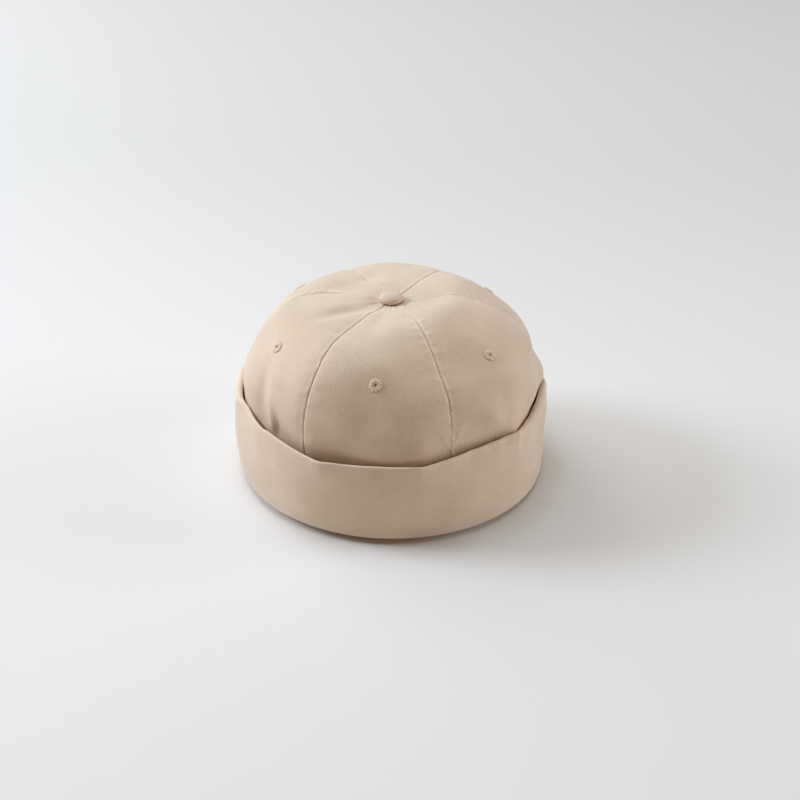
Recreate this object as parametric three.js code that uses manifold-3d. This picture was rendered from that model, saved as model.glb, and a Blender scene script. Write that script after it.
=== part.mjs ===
// A docker cap: a brimless cap of six cloth panels, with a covered button on top, an embroidered
// eyelet in each panel and a wide doubled cuff that is folded up around the crown.
// Millimetres, +Z up. The front faces -Y, and the origin lies under the middle of the cap, on the
// surface that it rests on. Azimuths are in degrees: 0 is the front, 90 is +X.
import * as THREE from 'three';
import { mergeVertices } from 'three/addons/utils/BufferGeometryUtils.js';
import Module from 'manifold-3d';

const wasm = await Module();
wasm.setup();

// Driving sizes
const headRadius = 90.7; // inside of the crown, for a head of 57 cm
const cloth = 1.5; // wall of a panel
const clearance = 0.3; // between neighbouring pieces
const buttonSeat = 118.6; // height of the cloth under the button, in a shallow dish
const tipRadius = 4; // where the panels end round the button's post
const cuffHeight = 58.6; // top of the rim
const cuffFootRadius = 99.5; // outside of the cuff just over its lower fold
const footFoldRadius = 6; // rounding of the lower fold
const rimRadius = 101.8; // outside of the cuff at its rim
const cuffWall = 2.8; // two layers of cloth
const rimFold = 3.6; // thickness of the rolled rim
const footThickness = 2.7; // lower fold, which passes under the crown's hem
const eyeletRadius = 4.5;
const eyeletHole = 0.9;
const buttonRadius = 8.3;
const buttonHeight = 4.6;

const twill = { color: 0xcdb9a3, roughness: 0.95, metalness: 0 };
const thread = { color: 0xd3c1ab, roughness: 0.8, metalness: 0 };

// Half section of the crown, from the button down to the hem
const crownRows = [
  { radius: 0, height: buttonSeat },
  { radius: 8, height: buttonSeat },
  { radius: 17, height: 119.6 },
  { radius: 28, height: 120 },
  { radius: 46, height: 118 },
  { radius: 63, height: 113 },
  { radius: 76, height: 104 },
  { radius: 86.8, height: 92 },
  { radius: 91, height: 75 },
  { radius: 92.2, height: 58 },
  { radius: 92.6, height: 40 },
  { radius: headRadius + cloth, height: footThickness + clearance },
];

// The panels, each with the seam before it. Seams are evenly spaced at the button and at the hem, and
// drift is how far the slack cloth carries one round between them. The eyelet has its own azimuth and
// its distance down the cloth from the button.
const panels = [
  { name: 'front', seam: -30, drift: 0, eyelet: 0, eyeletDown: 85 },
  { name: 'front_right', seam: 30, drift: 0, eyelet: 60, eyeletDown: 81 },
  { name: 'back_right', seam: 90, drift: 14, eyelet: 132, eyeletDown: 83 },
  { name: 'back', seam: 150, drift: 3, eyelet: 182, eyeletDown: 83 },
  { name: 'back_left', seam: 210, drift: 3, eyelet: 236, eyeletDown: 83 },
  { name: 'front_left', seam: 270, drift: -8, eyelet: 302.5, eyeletDown: 82 },
];

// Soft dents (out below 0) and full places (out above 0) of the crown
const crownFolds = [
  { azimuth: -66, fromButton: 42, halfAcross: 8, halfAlong: 26, out: -2.2 },
  { azimuth: -127, fromButton: 50, halfAcross: 12, halfAlong: 14, out: -2 },
  { azimuth: -7, fromButton: 30, halfAcross: 5, halfAlong: 15, out: -1.2 },
  { azimuth: -2, fromButton: 86, halfAcross: 24, halfAlong: 28, out: 2.2 },
  { azimuth: 30, fromButton: 60, halfAcross: 14, halfAlong: 20, out: -2.4 },
  { azimuth: 62, fromButton: 84, halfAcross: 22, halfAlong: 26, out: 0.8 },
  { azimuth: 95, fromButton: 122, halfAcross: 45, halfAlong: 28, out: 7.6 },
  { azimuth: 95, fromButton: 131, halfAcross: 45, halfAlong: 5, out: -6 },
  { azimuth: -85, fromButton: 120, halfAcross: 45, halfAlong: 27, out: 3.6 },
  { azimuth: -90, fromButton: 84, halfAcross: 30, halfAlong: 26, out: -1.6 },
  { azimuth: -62, fromButton: 114, halfAcross: 7, halfAlong: 18, out: -1.8 },
  { azimuth: -52, fromButton: 122, halfAcross: 7, halfAlong: 20, out: 1.8 },
  { azimuth: -44, fromButton: 130, halfAcross: 7, halfAlong: 12, out: -1.5 },
];

// Corners of the cuff's rim. drawnIn is how far the stretch up to the next corner is pulled towards
// the crown at its middle.
const rimCorners = [
  { azimuth: -95, out: 0.2, rise: 0.6, drawnIn: 0.8 },
  { azimuth: -63, out: 0, rise: 0.2, drawnIn: 0.5 },
  { azimuth: -50, out: -0.2, rise: 0, drawnIn: 2.2 },
  { azimuth: -19, out: 2, rise: -2, drawnIn: 3 },
  { azimuth: 17, out: 1.7, rise: -1, drawnIn: 5 },
  { azimuth: 59, out: -0.3, rise: 0.5, drawnIn: 0.8 },
  { azimuth: 100, out: 0.2, rise: 0.7, drawnIn: 1.6 },
  { azimuth: 143, out: 0.4, rise: 0, drawnIn: 2.2 },
  { azimuth: 183, out: -0.2, rise: -0.6, drawnIn: 2 },
  { azimuth: 226, out: 0.4, rise: 0.2, drawnIn: 1.8 },
];

const { degToRad, smoothstep, lerp, inverseLerp, euclideanModulo } = THREE.MathUtils;
const turnOff = (a, b) => euclideanModulo(a - b + 180, 360) - 180;
const outward = (azimuth) => new THREE.Vector3(Math.sin(degToRad(azimuth)), -Math.cos(degToRad(azimuth)), 0);
const sideways = (azimuth) => new THREE.Vector3(Math.cos(degToRad(azimuth)), Math.sin(degToRad(azimuth)), 0);

const crownSection = new THREE.CatmullRomCurve3(
  crownRows.map((row) => new THREE.Vector3(row.radius, 0, row.height)),
);
const crownLength = crownSection.getLength();

// Smooth from 0 to 1 between two distances from the button
const grows = (fromButton, [start, end]) => smoothstep(fromButton, start, end);

// The azimuth of the seam before a panel, at a distance from the button
const driftGrows = [8, 34];
const driftFades = [90, 135];
function seamAzimuth(panel, fromButton) {
  return panel.seam + panel.drift * grows(fromButton, driftGrows) * (1 - grows(fromButton, driftFades));
}

// The azimuths of both seams of a panel
function panelSeams(index, fromButton) {
  const turn = index + 1 < panels.length ? 0 : 360;
  const next = panels[(index + 1) % panels.length];
  return [seamAzimuth(panels[index], fromButton), seamAzimuth(next, fromButton) + turn];
}

// How far the cloth stands off the plain section: each panel is full in its middle and dips at its
// seams, and the folds of the table are added as smooth humps that end where the cuff's rim holds
// the cloth in. across runs from -1 at one seam to 1 at the other.
const panelFullness = 1.4;
const fullnessGrows = [8, 50];
const rimHolds = [129, 137];
const seamDip = 0.9;
const seamDipWidth = 2.6;
const seamDipGrows = [10, 25];
function standOff(across, azimuth, fromButton, radius, width) {
  const fromSeam = ((1 - Math.abs(across)) * width) / 2;
  const dip = seamDip * grows(fromButton, seamDipGrows) * Math.exp(-((fromSeam / seamDipWidth) ** 2));
  let out = panelFullness * grows(fromButton, fullnessGrows) * (1 - across ** 2);
  for (const fold of crownFolds) {
    const acrossFold = (degToRad(turnOff(azimuth, fold.azimuth)) * radius) / fold.halfAcross;
    const alongFold = (fromButton - fold.fromButton) / fold.halfAlong;
    out += fold.out * Math.exp(-(acrossFold ** 2) - alongFold ** 2);
  }
  return out * (1 - grows(fromButton, rimHolds)) - dip;
}

// A point on a panel's cloth, depth millimetres under its outer face
function panelPoint(index, across, fromButton, depth) {
  const along = Math.min(fromButton / crownLength, 1);
  const place = crownSection.getPointAt(along);
  const run = crownSection.getTangentAt(along);
  const [left, right] = panelSeams(index, fromButton);
  const azimuth = lerp(left, right, (across + 1) / 2);
  const width = degToRad(right - left) * place.x;
  const off = standOff(across, azimuth, fromButton, place.x, width) - depth;
  const point = outward(azimuth).multiplyScalar(place.x - run.z * off);
  point.z = place.z + run.x * off;
  return point.addScaledVector(sideways(azimuth), (-across * clearance) / 2);
}

// A closed geometry from points and faces of four corners
function closedGeometry(points, faces) {
  const geometry = new THREE.BufferGeometry().setFromPoints(points);
  geometry.setIndex(faces.flatMap(([a, b, c, d]) => [a, b, c, a, c, d]));
  return geometry;
}

// A cloth wall between two grids of rows: both faces, and the strip all round that joins them
function clothWall(outer, inner) {
  const rows = outer.length;
  const columns = outer[0].length;
  const points = [...outer.flat(), ...inner.flat()];
  const under = rows * columns;
  const at = (row, column) => row * columns + column;
  const faces = [];
  for (let row = 0; row + 1 < rows; row += 1) {
    for (let column = 0; column + 1 < columns; column += 1) {
      const quad = [at(row, column), at(row + 1, column), at(row + 1, column + 1), at(row, column + 1)];
      faces.push(quad);
      faces.push(quad.map((corner) => corner + under).reverse());
    }
  }
  const border = [];
  for (let row = 0; row + 1 < rows; row += 1) border.push(at(row, 0));
  for (let column = 0; column + 1 < columns; column += 1) border.push(at(rows - 1, column));
  for (let row = rows - 1; row > 0; row -= 1) border.push(at(row, columns - 1));
  for (let column = columns - 1; column > 0; column -= 1) border.push(at(0, column));
  border.forEach((corner, index) => {
    const next = border[(index + 1) % border.length];
    faces.push([next, corner, corner + under, next + under]);
  });
  return closedGeometry(points, faces);
}

function toSolid(geometry) {
  const bare = geometry.clone();
  bare.deleteAttribute('normal');
  bare.deleteAttribute('uv');
  const merged = mergeVertices(bare);
  return new wasm.Manifold(
    new wasm.Mesh({
      numProp: 3,
      vertProperties: new Float32Array(merged.attributes.position.array),
      triVerts: new Uint32Array(merged.index.array),
    }),
  );
}

function cutOut(geometry, tool) {
  const mesh = toSolid(geometry).subtract(toSolid(tool)).getMesh();
  const cut = new THREE.BufferGeometry();
  cut.setAttribute('position', new THREE.BufferAttribute(new Float32Array(mesh.vertProperties), 3));
  cut.setIndex(new THREE.BufferAttribute(new Uint32Array(mesh.triVerts), 1));
  return cut;
}

function namedMesh(name, geometry, finish) {
  const mesh = new THREE.Mesh(geometry, new THREE.MeshStandardMaterial(finish));
  mesh.name = name;
  return mesh;
}

// One gore of the crown, from its tip at the button to the hem, with the hole for its eyelet. The rows
// are distances from the button, closest where the cloth tucks in behind the cuff's rim.
const barrelRadius = 2;
const openRows = [12, 23, 34, 45, 55, 65, 75, 84, 93, 102, 110];
const tuckedRows = [117, 122, 126, 129, 133, 145, 165];
const halfColumns = [0.22, 0.44, 0.64, 0.82, 0.95, 1];
function makePanel(index) {
  const rows = [tipRadius, ...openRows, ...tuckedRows, crownLength];
  const columns = [...halfColumns.map((across) => -across).reverse(), 0, ...halfColumns];
  const grid = (depth) => rows.map((row) => columns.map((across) => panelPoint(index, across, row, depth)));
  const seat = eyeletSeat(index);
  const holeRadius = barrelRadius + clearance;
  const hole = new THREE.CylinderGeometry(holeRadius, holeRadius, 8 * cloth, 14);
  hole.applyQuaternion(seat.turn).translate(...seat.place);
  const wall = clothWall(grid(0), grid(cloth));
  return namedMesh(`crown_panel_${panels[index].name}`, cutOut(wall, hole), twill);
}

// Where an eyelet sits on its panel, and the turn from +Y to the cloth's outward direction there
function eyeletSeat(index) {
  const { eyelet, eyeletDown } = panels[index];
  const [left, right] = panelSeams(index, eyeletDown);
  const across = inverseLerp(left, right, eyelet) * 2 - 1;
  const near = (aside, along) => panelPoint(index, across + aside, eyeletDown + along, 0);
  const sideRun = near(0.04, 0).sub(near(-0.04, 0));
  const downRun = near(0, 1).sub(near(0, -1));
  const facing = downRun.cross(sideRun).normalize();
  return {
    place: near(0, 0),
    turn: new THREE.Quaternion().setFromUnitVectors(new THREE.Vector3(0, 1, 0), facing),
  };
}

// A ring of thread on the cloth, whose barrel lines the hole
function makeEyelet(index) {
  const seat = clearance + 0.1; // the cloth is rounded under the ring
  const barrelEnd = -cloth - 0.9;
  const outline = [
    [eyeletHole, barrelEnd],
    [barrelRadius, barrelEnd],
    [barrelRadius, seat],
    [eyeletRadius - 0.3, seat],
    [eyeletRadius, seat + 0.2],
    [eyeletRadius - 0.4, seat + 0.5],
    [eyeletRadius / 2, seat + 0.7],
    [eyeletHole, seat + 0.3],
    [eyeletHole, barrelEnd],
  ];
  const ring = new THREE.LatheGeometry(outline.map(([x, y]) => new THREE.Vector2(x, y)), 12);
  const eyelet = namedMesh(`eyelet_${panels[index].name}`, ring, thread);
  const { place, turn } = eyeletSeat(index);
  eyelet.position.copy(place);
  eyelet.quaternion.copy(turn);
  return eyelet;
}

// A low dome covered in twill, whose post goes down between the panels' tips
function makeButton() {
  const postRadius = 2.6;
  const postDepth = 4;
  const outline = [
    [0, -postDepth],
    [postRadius, -postDepth],
    [postRadius, clearance],
    [buttonRadius - 0.9, clearance],
    [buttonRadius, clearance + 0.9],
    [buttonRadius * 0.95, buttonHeight * 0.46],
    [buttonRadius * 0.72, buttonHeight * 0.8],
    [buttonRadius * 0.38, buttonHeight * 0.96],
    [0, buttonHeight],
  ];
  const dome = new THREE.LatheGeometry(outline.map(([x, y]) => new THREE.Vector2(x, y)), 24);
  const button = namedMesh('top_button', dome, twill);
  button.rotation.x = Math.PI / 2;
  button.position.z = buttonSeat;
  return button;
}

// How the rim departs from a level circle between the two corners beside an azimuth
function rimShape(corner, next, part) {
  return {
    out: lerp(corner.out, next.out, part) - corner.drawnIn * 4 * part * (1 - part),
    rise: lerp(corner.rise, next.rise, smoothstep(part, 0, 1)),
  };
}

// The cuff's section at one azimuth, round from the foot's inner edge by the outer face and the rim
function cuffSection(rim) {
  const bulge = 0.6; // how far the outer face swells at half height
  const footEase = 0.6; // bevel of the foot's inner edge
  const beadRadius = rimFold / 2;
  const beadHeight = cuffHeight + rim.rise - beadRadius;
  const outerRadius = (height) => {
    const up = inverseLerp(footFoldRadius, beadHeight, height);
    return lerp(cuffFootRadius, rimRadius, up) + bulge * 4 * up * (1 - up) + rim.out * up ** 1.5;
  };
  const wall = (height) => lerp(cuffWall, rimFold, smoothstep(height, beadHeight * 0.55, beadHeight));
  const section = [];
  const addArc = (radius, height, size, angles) => {
    angles.map(degToRad).forEach((turn) => {
      section.push([radius + size * Math.cos(turn), height + size * Math.sin(turn)]);
    });
  };
  const heights = [0, 0.28, 0.54, 0.78, 1].map((part) => lerp(footFoldRadius, beadHeight, part));
  section.push([headRadius + footEase, 0]);
  addArc(cuffFootRadius - footFoldRadius, footFoldRadius, footFoldRadius, [-90, -60, -30]);
  heights.forEach((height) => section.push([outerRadius(height), height]));
  addArc(outerRadius(beadHeight) - beadRadius, beadHeight, beadRadius, [45, 90, 135]);
  heights.reverse().forEach((height) => section.push([outerRadius(height) - wall(height), height]));
  section.push([cuffFootRadius - footFoldRadius, footThickness]);
  section.push([headRadius, footThickness]);
  section.push([headRadius, footEase]);
  return section;
}

// The doubled band, a closed ring through a section at each corner and every few degrees between
function makeCuff() {
  const stepAngle = 5;
  const points = [];
  let stations = 0;
  rimCorners.forEach((corner, index) => {
    const next = rimCorners[(index + 1) % rimCorners.length];
    const span = euclideanModulo(next.azimuth - corner.azimuth, 360);
    const steps = Math.ceil(span / stepAngle);
    for (let step = 0; step < steps; step += 1) {
      const part = step / steps;
      const direction = outward(corner.azimuth + span * part);
      cuffSection(rimShape(corner, next, part)).forEach(([radius, height]) => {
        points.push(direction.clone().multiplyScalar(radius).setZ(height));
      });
      stations += 1;
    }
  });
  const around = points.length / stations;
  const faces = [];
  for (let station = 0; station < stations; station += 1) {
    const here = station * around;
    const beyond = ((station + 1) % stations) * around;
    for (let k = 0; k < around; k += 1) {
      const up = (k + 1) % around;
      faces.push([here + k, beyond + k, beyond + up, here + up]);
    }
  }
  return namedMesh('cuff', closedGeometry(points, faces), twill);
}

const cap = new THREE.Group();
panels.forEach((panel, index) => {
  cap.add(makePanel(index));
  cap.add(makeEyelet(index));
});
cap.add(makeButton());
cap.add(makeCuff());

export default cap;
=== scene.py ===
import math

import bpy
import numpy as np
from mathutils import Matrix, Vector


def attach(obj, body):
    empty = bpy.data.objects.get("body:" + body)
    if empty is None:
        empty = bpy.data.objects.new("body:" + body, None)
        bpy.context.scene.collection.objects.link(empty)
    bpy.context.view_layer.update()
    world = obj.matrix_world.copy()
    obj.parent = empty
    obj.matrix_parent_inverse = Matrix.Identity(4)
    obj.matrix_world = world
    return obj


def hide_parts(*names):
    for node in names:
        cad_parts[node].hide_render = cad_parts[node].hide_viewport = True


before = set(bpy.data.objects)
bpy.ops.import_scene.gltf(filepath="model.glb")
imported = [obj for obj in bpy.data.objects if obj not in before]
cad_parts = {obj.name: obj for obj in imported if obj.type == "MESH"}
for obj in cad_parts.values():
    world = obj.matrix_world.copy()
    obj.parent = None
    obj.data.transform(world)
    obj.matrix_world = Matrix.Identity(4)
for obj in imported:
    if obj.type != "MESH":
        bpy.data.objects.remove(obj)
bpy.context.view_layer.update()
print("frame loaded with", len(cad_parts), "nodes")

mm = 0.001
creaseAngle = 60.0      # degrees, edges sharper than this are shaded as edges
scene = bpy.context.scene


def smoothStep(value, low, high):
    # 0 up to low, 1 from high on, and 3t^2 - 2t^3 of the share t in between
    t = np.clip((value - low) / (high - low), 0, 1)
    return t * t * (3 - 2 * t)


def hump(distance, halfWidth):
    # height 1 at distance 0, falling off as e to the minus (distance / halfWidth) squared
    return np.exp(-((distance / halfWidth) ** 2))


def turnBetween(angle, centre):
    # the shorter way round from centre to angle, in degrees from -180 to 180
    return (angle - centre + 180) % 360 - 180


def ringPoints(angle, radius, height):
    # points at an azimuth in degrees, 0 at the front (-Y) and 90 at the right (+X)
    turn = np.radians(angle)
    return np.stack(np.broadcast_arrays(radius * np.sin(turn), -radius * np.cos(turn), height), -1)


def runAlong(points):
    # the distance along a line of points from its first one to each of them
    step = np.linalg.norm(np.diff(points, axis=0), axis=1)
    return np.concatenate(((0,), np.cumsum(step)))


def gridCells(rows, columns):
    # each cell of a grid of points as its four corner numbers, down, right, up and back to the left
    corner = np.arange(rows * columns).reshape(rows, columns)
    cells = (corner[:-1, :-1], corner[1:, :-1], corner[1:, 1:], corner[:-1, 1:])
    return np.stack(cells, -1).reshape(-1, 4)


def tubeCells(rows, columns):
    # the cells of a grid whose last column joins its first one
    row, column = np.divmod(gridCells(rows, columns + 1), columns + 1)
    return row * columns + column % columns


def ringCells(rows, columns):
    # the same where the last row joins the first one too
    return tubeCells(rows + 1, columns) % (rows * columns)


def addPiece(name, points, faces, uv, wearAndStitchLight, finish):
    # one mesh object at the origin, from points in mm, faces as arrays of corner numbers, a flat place
    # in mm for every face corner and a value for every point: wear, and on the eyelets the stitches' rise,
    # which is a painted highlight on their crests
    used, numbers = np.unique(np.concatenate([f.ravel() for f in faces]), return_inverse=True)
    cuts = np.cumsum([f.size for f in faces])[:-1]
    polygons = [n.reshape(f.shape).tolist() for n, f in zip(np.split(numbers.ravel(), cuts), faces)]
    mesh = bpy.data.meshes.new(name)
    mesh.from_pydata((points[used] * mm).tolist(), [], sum(polygons, []))
    mesh.polygons.foreach_set("use_smooth", np.ones(len(mesh.polygons), bool))
    flat = mesh.uv_layers.new(name="flatCloth")
    corners = np.concatenate([u.reshape(-1, 2) for u in uv]) * mm
    flat.uv.foreach_set("vector", corners.ravel().astype(np.float32))
    # this layer holds wear, and on the eyelets the painted highlight of the stitch crests
    rubbed = mesh.attributes.new("wearAndStitchLight", "FLOAT", "POINT")
    rubbed.data.foreach_set("value", wearAndStitchLight[used].astype(np.float32))
    mesh.set_sharp_from_angle(angle=math.radians(creaseAngle))
    mesh.materials.append(finish)
    piece = bpy.data.objects.new(name, mesh)
    scene.collection.objects.link(piece)
    return piece


class Value:
    # wraps an output socket, so that an expression on values adds its Math nodes
    def __init__(self, tree, socket):
        self.tree = tree
        self.socket = socket

    def math(self, operation, first, second=0.0):
        node = self.tree.nodes.new("ShaderNodeMath")
        node.operation = operation
        for socket, value in zip(node.inputs, (first, second)):
            setSocket(self.tree, socket, value)
        return Value(self.tree, node.outputs[0])

    def __add__(self, other):
        return self.math("ADD", self, other)

    def __sub__(self, other):
        return self.math("SUBTRACT", self, other)

    def __rsub__(self, other):
        return self.math("SUBTRACT", other, self)

    def __mul__(self, other):
        return self.math("MULTIPLY", self, other)

    def wave(self):
        # from 0 to 1 and back, as 0.5 + 0.5 times the cosine
        return self.math("COSINE", self) * 0.5 + 0.5

    __radd__ = __add__
    __rmul__ = __mul__


def setSocket(tree, socket, value):
    # links a wrapped value to a socket, or sets a plain one on it
    if isinstance(value, Value):
        tree.links.new(value.socket, socket)
    else:
        socket.default_value = value


class Finish:
    # a material whose nodes are added one by one, ending in one Principled BSDF
    def __init__(self, name):
        self.material = bpy.data.materials.new(name)
        self.material.use_nodes = True
        self.tree = self.material.node_tree
        self.tree.nodes.clear()

    def node(self, kind, settings, sockets, output=0):
        # one node: its settings first, then the values or links of its sockets
        made = self.tree.nodes.new(kind)
        for key, value in settings.items():
            setattr(made, key, value)
        for key, value in sockets.items():
            setSocket(self.tree, made.inputs[key], value)
        return None if output is None else Value(self.tree, made.outputs[output])

    def flatPlace(self):
        # the place on the flat cloth in mm: along, down, and both as a vector
        flat = self.node("ShaderNodeUVMap", {"uv_map": "flatCloth"}, {})
        along = self.node("ShaderNodeSeparateXYZ", {}, {"Vector": flat}, 0) * (1 / mm)
        down = self.node("ShaderNodeSeparateXYZ", {}, {"Vector": flat}, 1) * (1 / mm)
        both = self.node("ShaderNodeVectorMath", {"operation": "SCALE"}, {"Vector": flat, "Scale": 1 / mm})
        return along, down, both

    def noise(self, place, scale, detail):
        # cloudy noise from 0 to 1 with so many lumps for each unit of the place
        return self.node("ShaderNodeTexNoise", {}, {"Vector": place, "Scale": scale, "Detail": detail})

    def wearAndStitchLight(self):
        # the value that each point of a piece carries: wear, and on the eyelets the stitches' rise for a
        # painted highlight on their crests
        return self.node("ShaderNodeAttribute", {"attribute_name": "wearAndStitchLight"}, {}, "Fac")

    def blend(self, share, low, high):
        # from one colour to another, by a share that is kept between 0 and 1
        return self.node("ShaderNodeMix", {"data_type": "RGBA", "clamp_factor": True},
                         {0: share, 6: low, 7: high}, 2)

    def close(self, sockets):
        # the shader and the output, which end the material
        shader = self.node("ShaderNodeBsdfPrincipled", {}, sockets)
        self.node("ShaderNodeOutputMaterial", {"target": "ALL"}, {"Surface": shader}, None)
        return self.material

    def closeCloth(self, spec, colour, height):
        # a matt cloth in this colour, with a bump of this height and a soft sheen
        relief = self.node("ShaderNodeBump", {}, {"Strength": spec["reliefStrength"],
                                                  "Distance": spec["relief"] * mm, "Height": height})
        return self.close({"Base Color": colour, "Roughness": spec["roughness"], "Normal": relief,
                           "Sheen Weight": spec["sheen"], "Sheen Roughness": spec["sheenRoughness"],
                           "Specular IOR Level": spec["gloss"]})


def linear(red, green, blue):
    # a colour as seen on a screen, 0 to 255, as the light it stands for
    shade = np.array((red, green, blue)) / 255
    light = np.where(shade <= 0.04045, shade / 12.92, ((shade + 0.055) / 1.055) ** 2.4)
    return (*light.tolist(), 1.0)


twill = {
    # light and deep follow the weave's height: painted light on the wales, painted shade between them
    "light": linear(233, 214, 194),     # the raised wales
    "deep": linear(203, 182, 160),      # between the wales
    "rubbed": linear(239, 222, 204),    # seams and folded edges, paler from washing
    "walePitch": 1.35,                  # mm from wale to wale
    "waleLean": 58.0,                   # degrees from the weft, down to the right
    "stepShare": 0.86,                  # pitch of the steps in a wale, against that of the wales
    "yarnPitch": 0.52,                  # mm from yarn to yarn
    "waleWaver": 3.0,                   # radians by which slubs push the wales about
    "yarnWaver": 2.0,                   # and the yarns
    "waleHeight": 0.42,                 # shares of the weave's height
    "stepHeight": 0.34,
    "yarnHeight": 0.1,
    "fuzzHeight": 0.3,
    "slubScale": 0.55,                  # lumps for each mm
    "fuzzScale": 2.3,
    "mottleScale": 38.0,                # lumps for each metre
    "weaveShade": 0.55,                 # how much lighter each of them makes the cloth; the weave's share is painted shade
    "slubShade": 0.35,
    "mottleShade": 0.9,
    "baseShade": -0.02,
    "rubbedShare": 0.6,                 # how pale full wear makes it
    "relief": 0.26,                     # mm, height of the weave
    "reliefStrength": 0.8,
    "roughness": 0.92,
    "sheen": 0.18,
    "sheenRoughness": 0.5,
    "gloss": 0.15,
}


def makeTwill(spec):
    # the weave is a wave of the distance across the wales, broken up by the yarns that cross them and by
    # slubs. The colour follows its height as painted shade, darker in its hollows and lighter on the
    # wales, and it follows the wear and slow random changes of tone
    f = Finish("washedTwill")
    u, v, flat = f.flatPlace()
    slub = f.noise(flat, spec["slubScale"], 3.0)
    fuzz = f.noise(flat, spec["fuzzScale"], 2.0)
    mottle = f.noise(f.node("ShaderNodeTexCoord", {}, {}, "Object"), spec["mottleScale"], 4.0)
    lean = math.radians(spec["waleLean"])
    turns = 2 * math.pi / spec["walePitch"]
    across = u * math.sin(lean) - v * math.cos(lean)
    counter = u * math.sin(lean) + v * math.cos(lean)
    wale = (across * turns + slub * spec["waleWaver"]).wave()
    step = (counter * (turns * spec["stepShare"]) + slub * spec["waleWaver"]).wave()
    yarns = (v * (2 * math.pi / spec["yarnPitch"]) + slub * spec["yarnWaver"]).wave()
    weave = wale * spec["waleHeight"] + step * spec["stepHeight"] + yarns * spec["yarnHeight"]
    weave = weave + fuzz * spec["fuzzHeight"]
    # painted shade of the weave, darker in its hollows and lighter on the wales, plus the slubs' and
    # mottle's own tone
    shade = weave * spec["weaveShade"] + slub * spec["slubShade"]
    shade = shade + (mottle - 0.5) * spec["mottleShade"] + spec["baseShade"]
    paler = f.wearAndStitchLight() * (weave + mottle) * spec["rubbedShare"]
    colour = f.blend(paler, f.blend(shade, spec["deep"], spec["light"]), spec["rubbed"])
    return f.closeCloth(spec, colour, weave)


thread = {
    # light is the painted highlight on raised stitches and plies, deep the painted shade between them
    "light": linear(234, 216, 195),
    "deep": linear(206, 185, 162),
    "plyPitch": 0.42,       # mm from ply to ply along a strand
    "plySlant": 0.8,        # mm that a ply runs along the strand for each mm across it
    "fuzzScale": 1.6,       # lumps for each mm
    "raisedShade": 0.6,     # how much lighter each makes the thread: painted highlight on raised stitches and plies
    "fuzzShade": 0.5,
    "plyShade": 0.15,
    "baseShade": -0.1,
    "relief": 0.08,         # mm, height of the plies
    "reliefStrength": 0.6,
    "roughness": 0.7,
    "sheen": 0.12,
    "sheenRoughness": 0.4,
    "gloss": 0.3,
}


def makeThread(spec):
    # strands lie along the second flat direction, and their plies cross it at a slant as a fine wave. The
    # colour is painted lighter on the raised stitches and plies and darker between them, painted light and
    # shade that follow the bump
    f = Finish("sewingThread")
    u, v, flat = f.flatPlace()
    fuzz = f.noise(flat, spec["fuzzScale"], 2.0)
    ply = ((v + u * spec["plySlant"]) * (2 * math.pi / spec["plyPitch"])).wave()
    # painted highlight on the raised stitches and ply crests, painted shade between them, with random fuzz
    # tone
    shade = f.wearAndStitchLight() * spec["raisedShade"] + fuzz * spec["fuzzShade"] + ply * spec["plyShade"]
    colour = f.blend(shade + spec["baseShade"], spec["deep"], spec["light"])
    return f.closeCloth(spec, colour, ply + fuzz)


twillFinish = makeTwill(twill)
threadFinish = makeThread(thread)
print("finishes made")


cuff = {
    "headRadius": 90.7,         # inner edge of the foot
    "height": 58.6,
    "footRadius": 99.9,         # outside of the lower fold
    "footFold": 1.6,            # radius of the lower fold
    "footRise": 3.0,            # the lower fold hangs this far over the floor
    "footTilt": 1.5,            # and this much further at one side
    "tiltAzimuth": -45.0,       # which is that side
    "footThickness": 2.7,
    "footLift": (0.15, 0.45),   # shares of the foot's width, from the head out, where it leaves the floor
    "footArch": 5.0,            # hollow under the foot, behind the lower fold
    "archStart": 0.2,           # share of the foot's width where the hollow starts
    "footInside": 0.6,          # share of it that has an upper face, before the inner face rises
    "footRows": 20,             # points across the foot, with both ends
    "fillet": 1.2,              # radius of the corner between the foot and the inner face
    "rimRadius": 101.8,
    "wall": 2.8,                # two layers of cloth
    "wallGrows": 0.55,          # share of the height from which the wall goes over to the rim's fold
    "swell": 0.6,               # the outer face swells this far at half height
    "room": 0.8,                # at least, between the rim's fold and the crown
    "crownReach": 4.0,          # degrees over which the crown evens out behind the rim
    "kinkReach": 16.0,          # and the rim's corners even out below it
    "leanPower": 1.2,           # the evened rim reaches down the face by this power of the height
    "kinkPower": 7,             # and its corners by this one
    "slack": 0.8,               # share of the cloth's slow waves in the face
    "slackPower": 6,            # they fade towards the rim by this power of the height
    "wearAndStitchLight": 0.36,
    "edgeWear": 0.3,            # more of it at the rim and the lower fold
    "rimWearReach": 2.2,
    "footWearReach": 3.0,
    "around": 600,
    "rows": 46,
}

# corners of the slack rim: azimuth, how far out, how far up, how far the rim to the next corner is drawn
# in and the thickness of its fold
rimCorners = [
    (-95, 0.6, 0.6, 0.6, 4.8), (-73, -0.2, 0.6, 0.0, 4.8), (-65, -3.6, 1.0, 0.0, 2.6),
    (-48.5, -3.2, -1.6, 0.0, 2.2), (-46, -2.6, 0.0, 1.2, 2.2), (-19, 2.0, -2.0, 3.0, 2.0),
    (17, 1.7, -1.4, 5.0, 2.0), (59, -0.4, -0.2, 0.0, 2.8), (63, -3.8, -4.4, 0.0, 3.2),
    (66.5, -3.4, -4.4, 0.2, 4.4), (74, -2.6, -3.6, 0.3, 5.4), (86, -2.4, -2.4, 0.4, 5.4),
    (97, -0.4, 0.4, 1.6, 4.6), (143, 0.4, 0.0, 2.2, 3.2), (183, -0.2, -0.6, 2.0, 2.8),
    (226, 0.4, 0.2, 1.8, 3.4),
]

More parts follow.
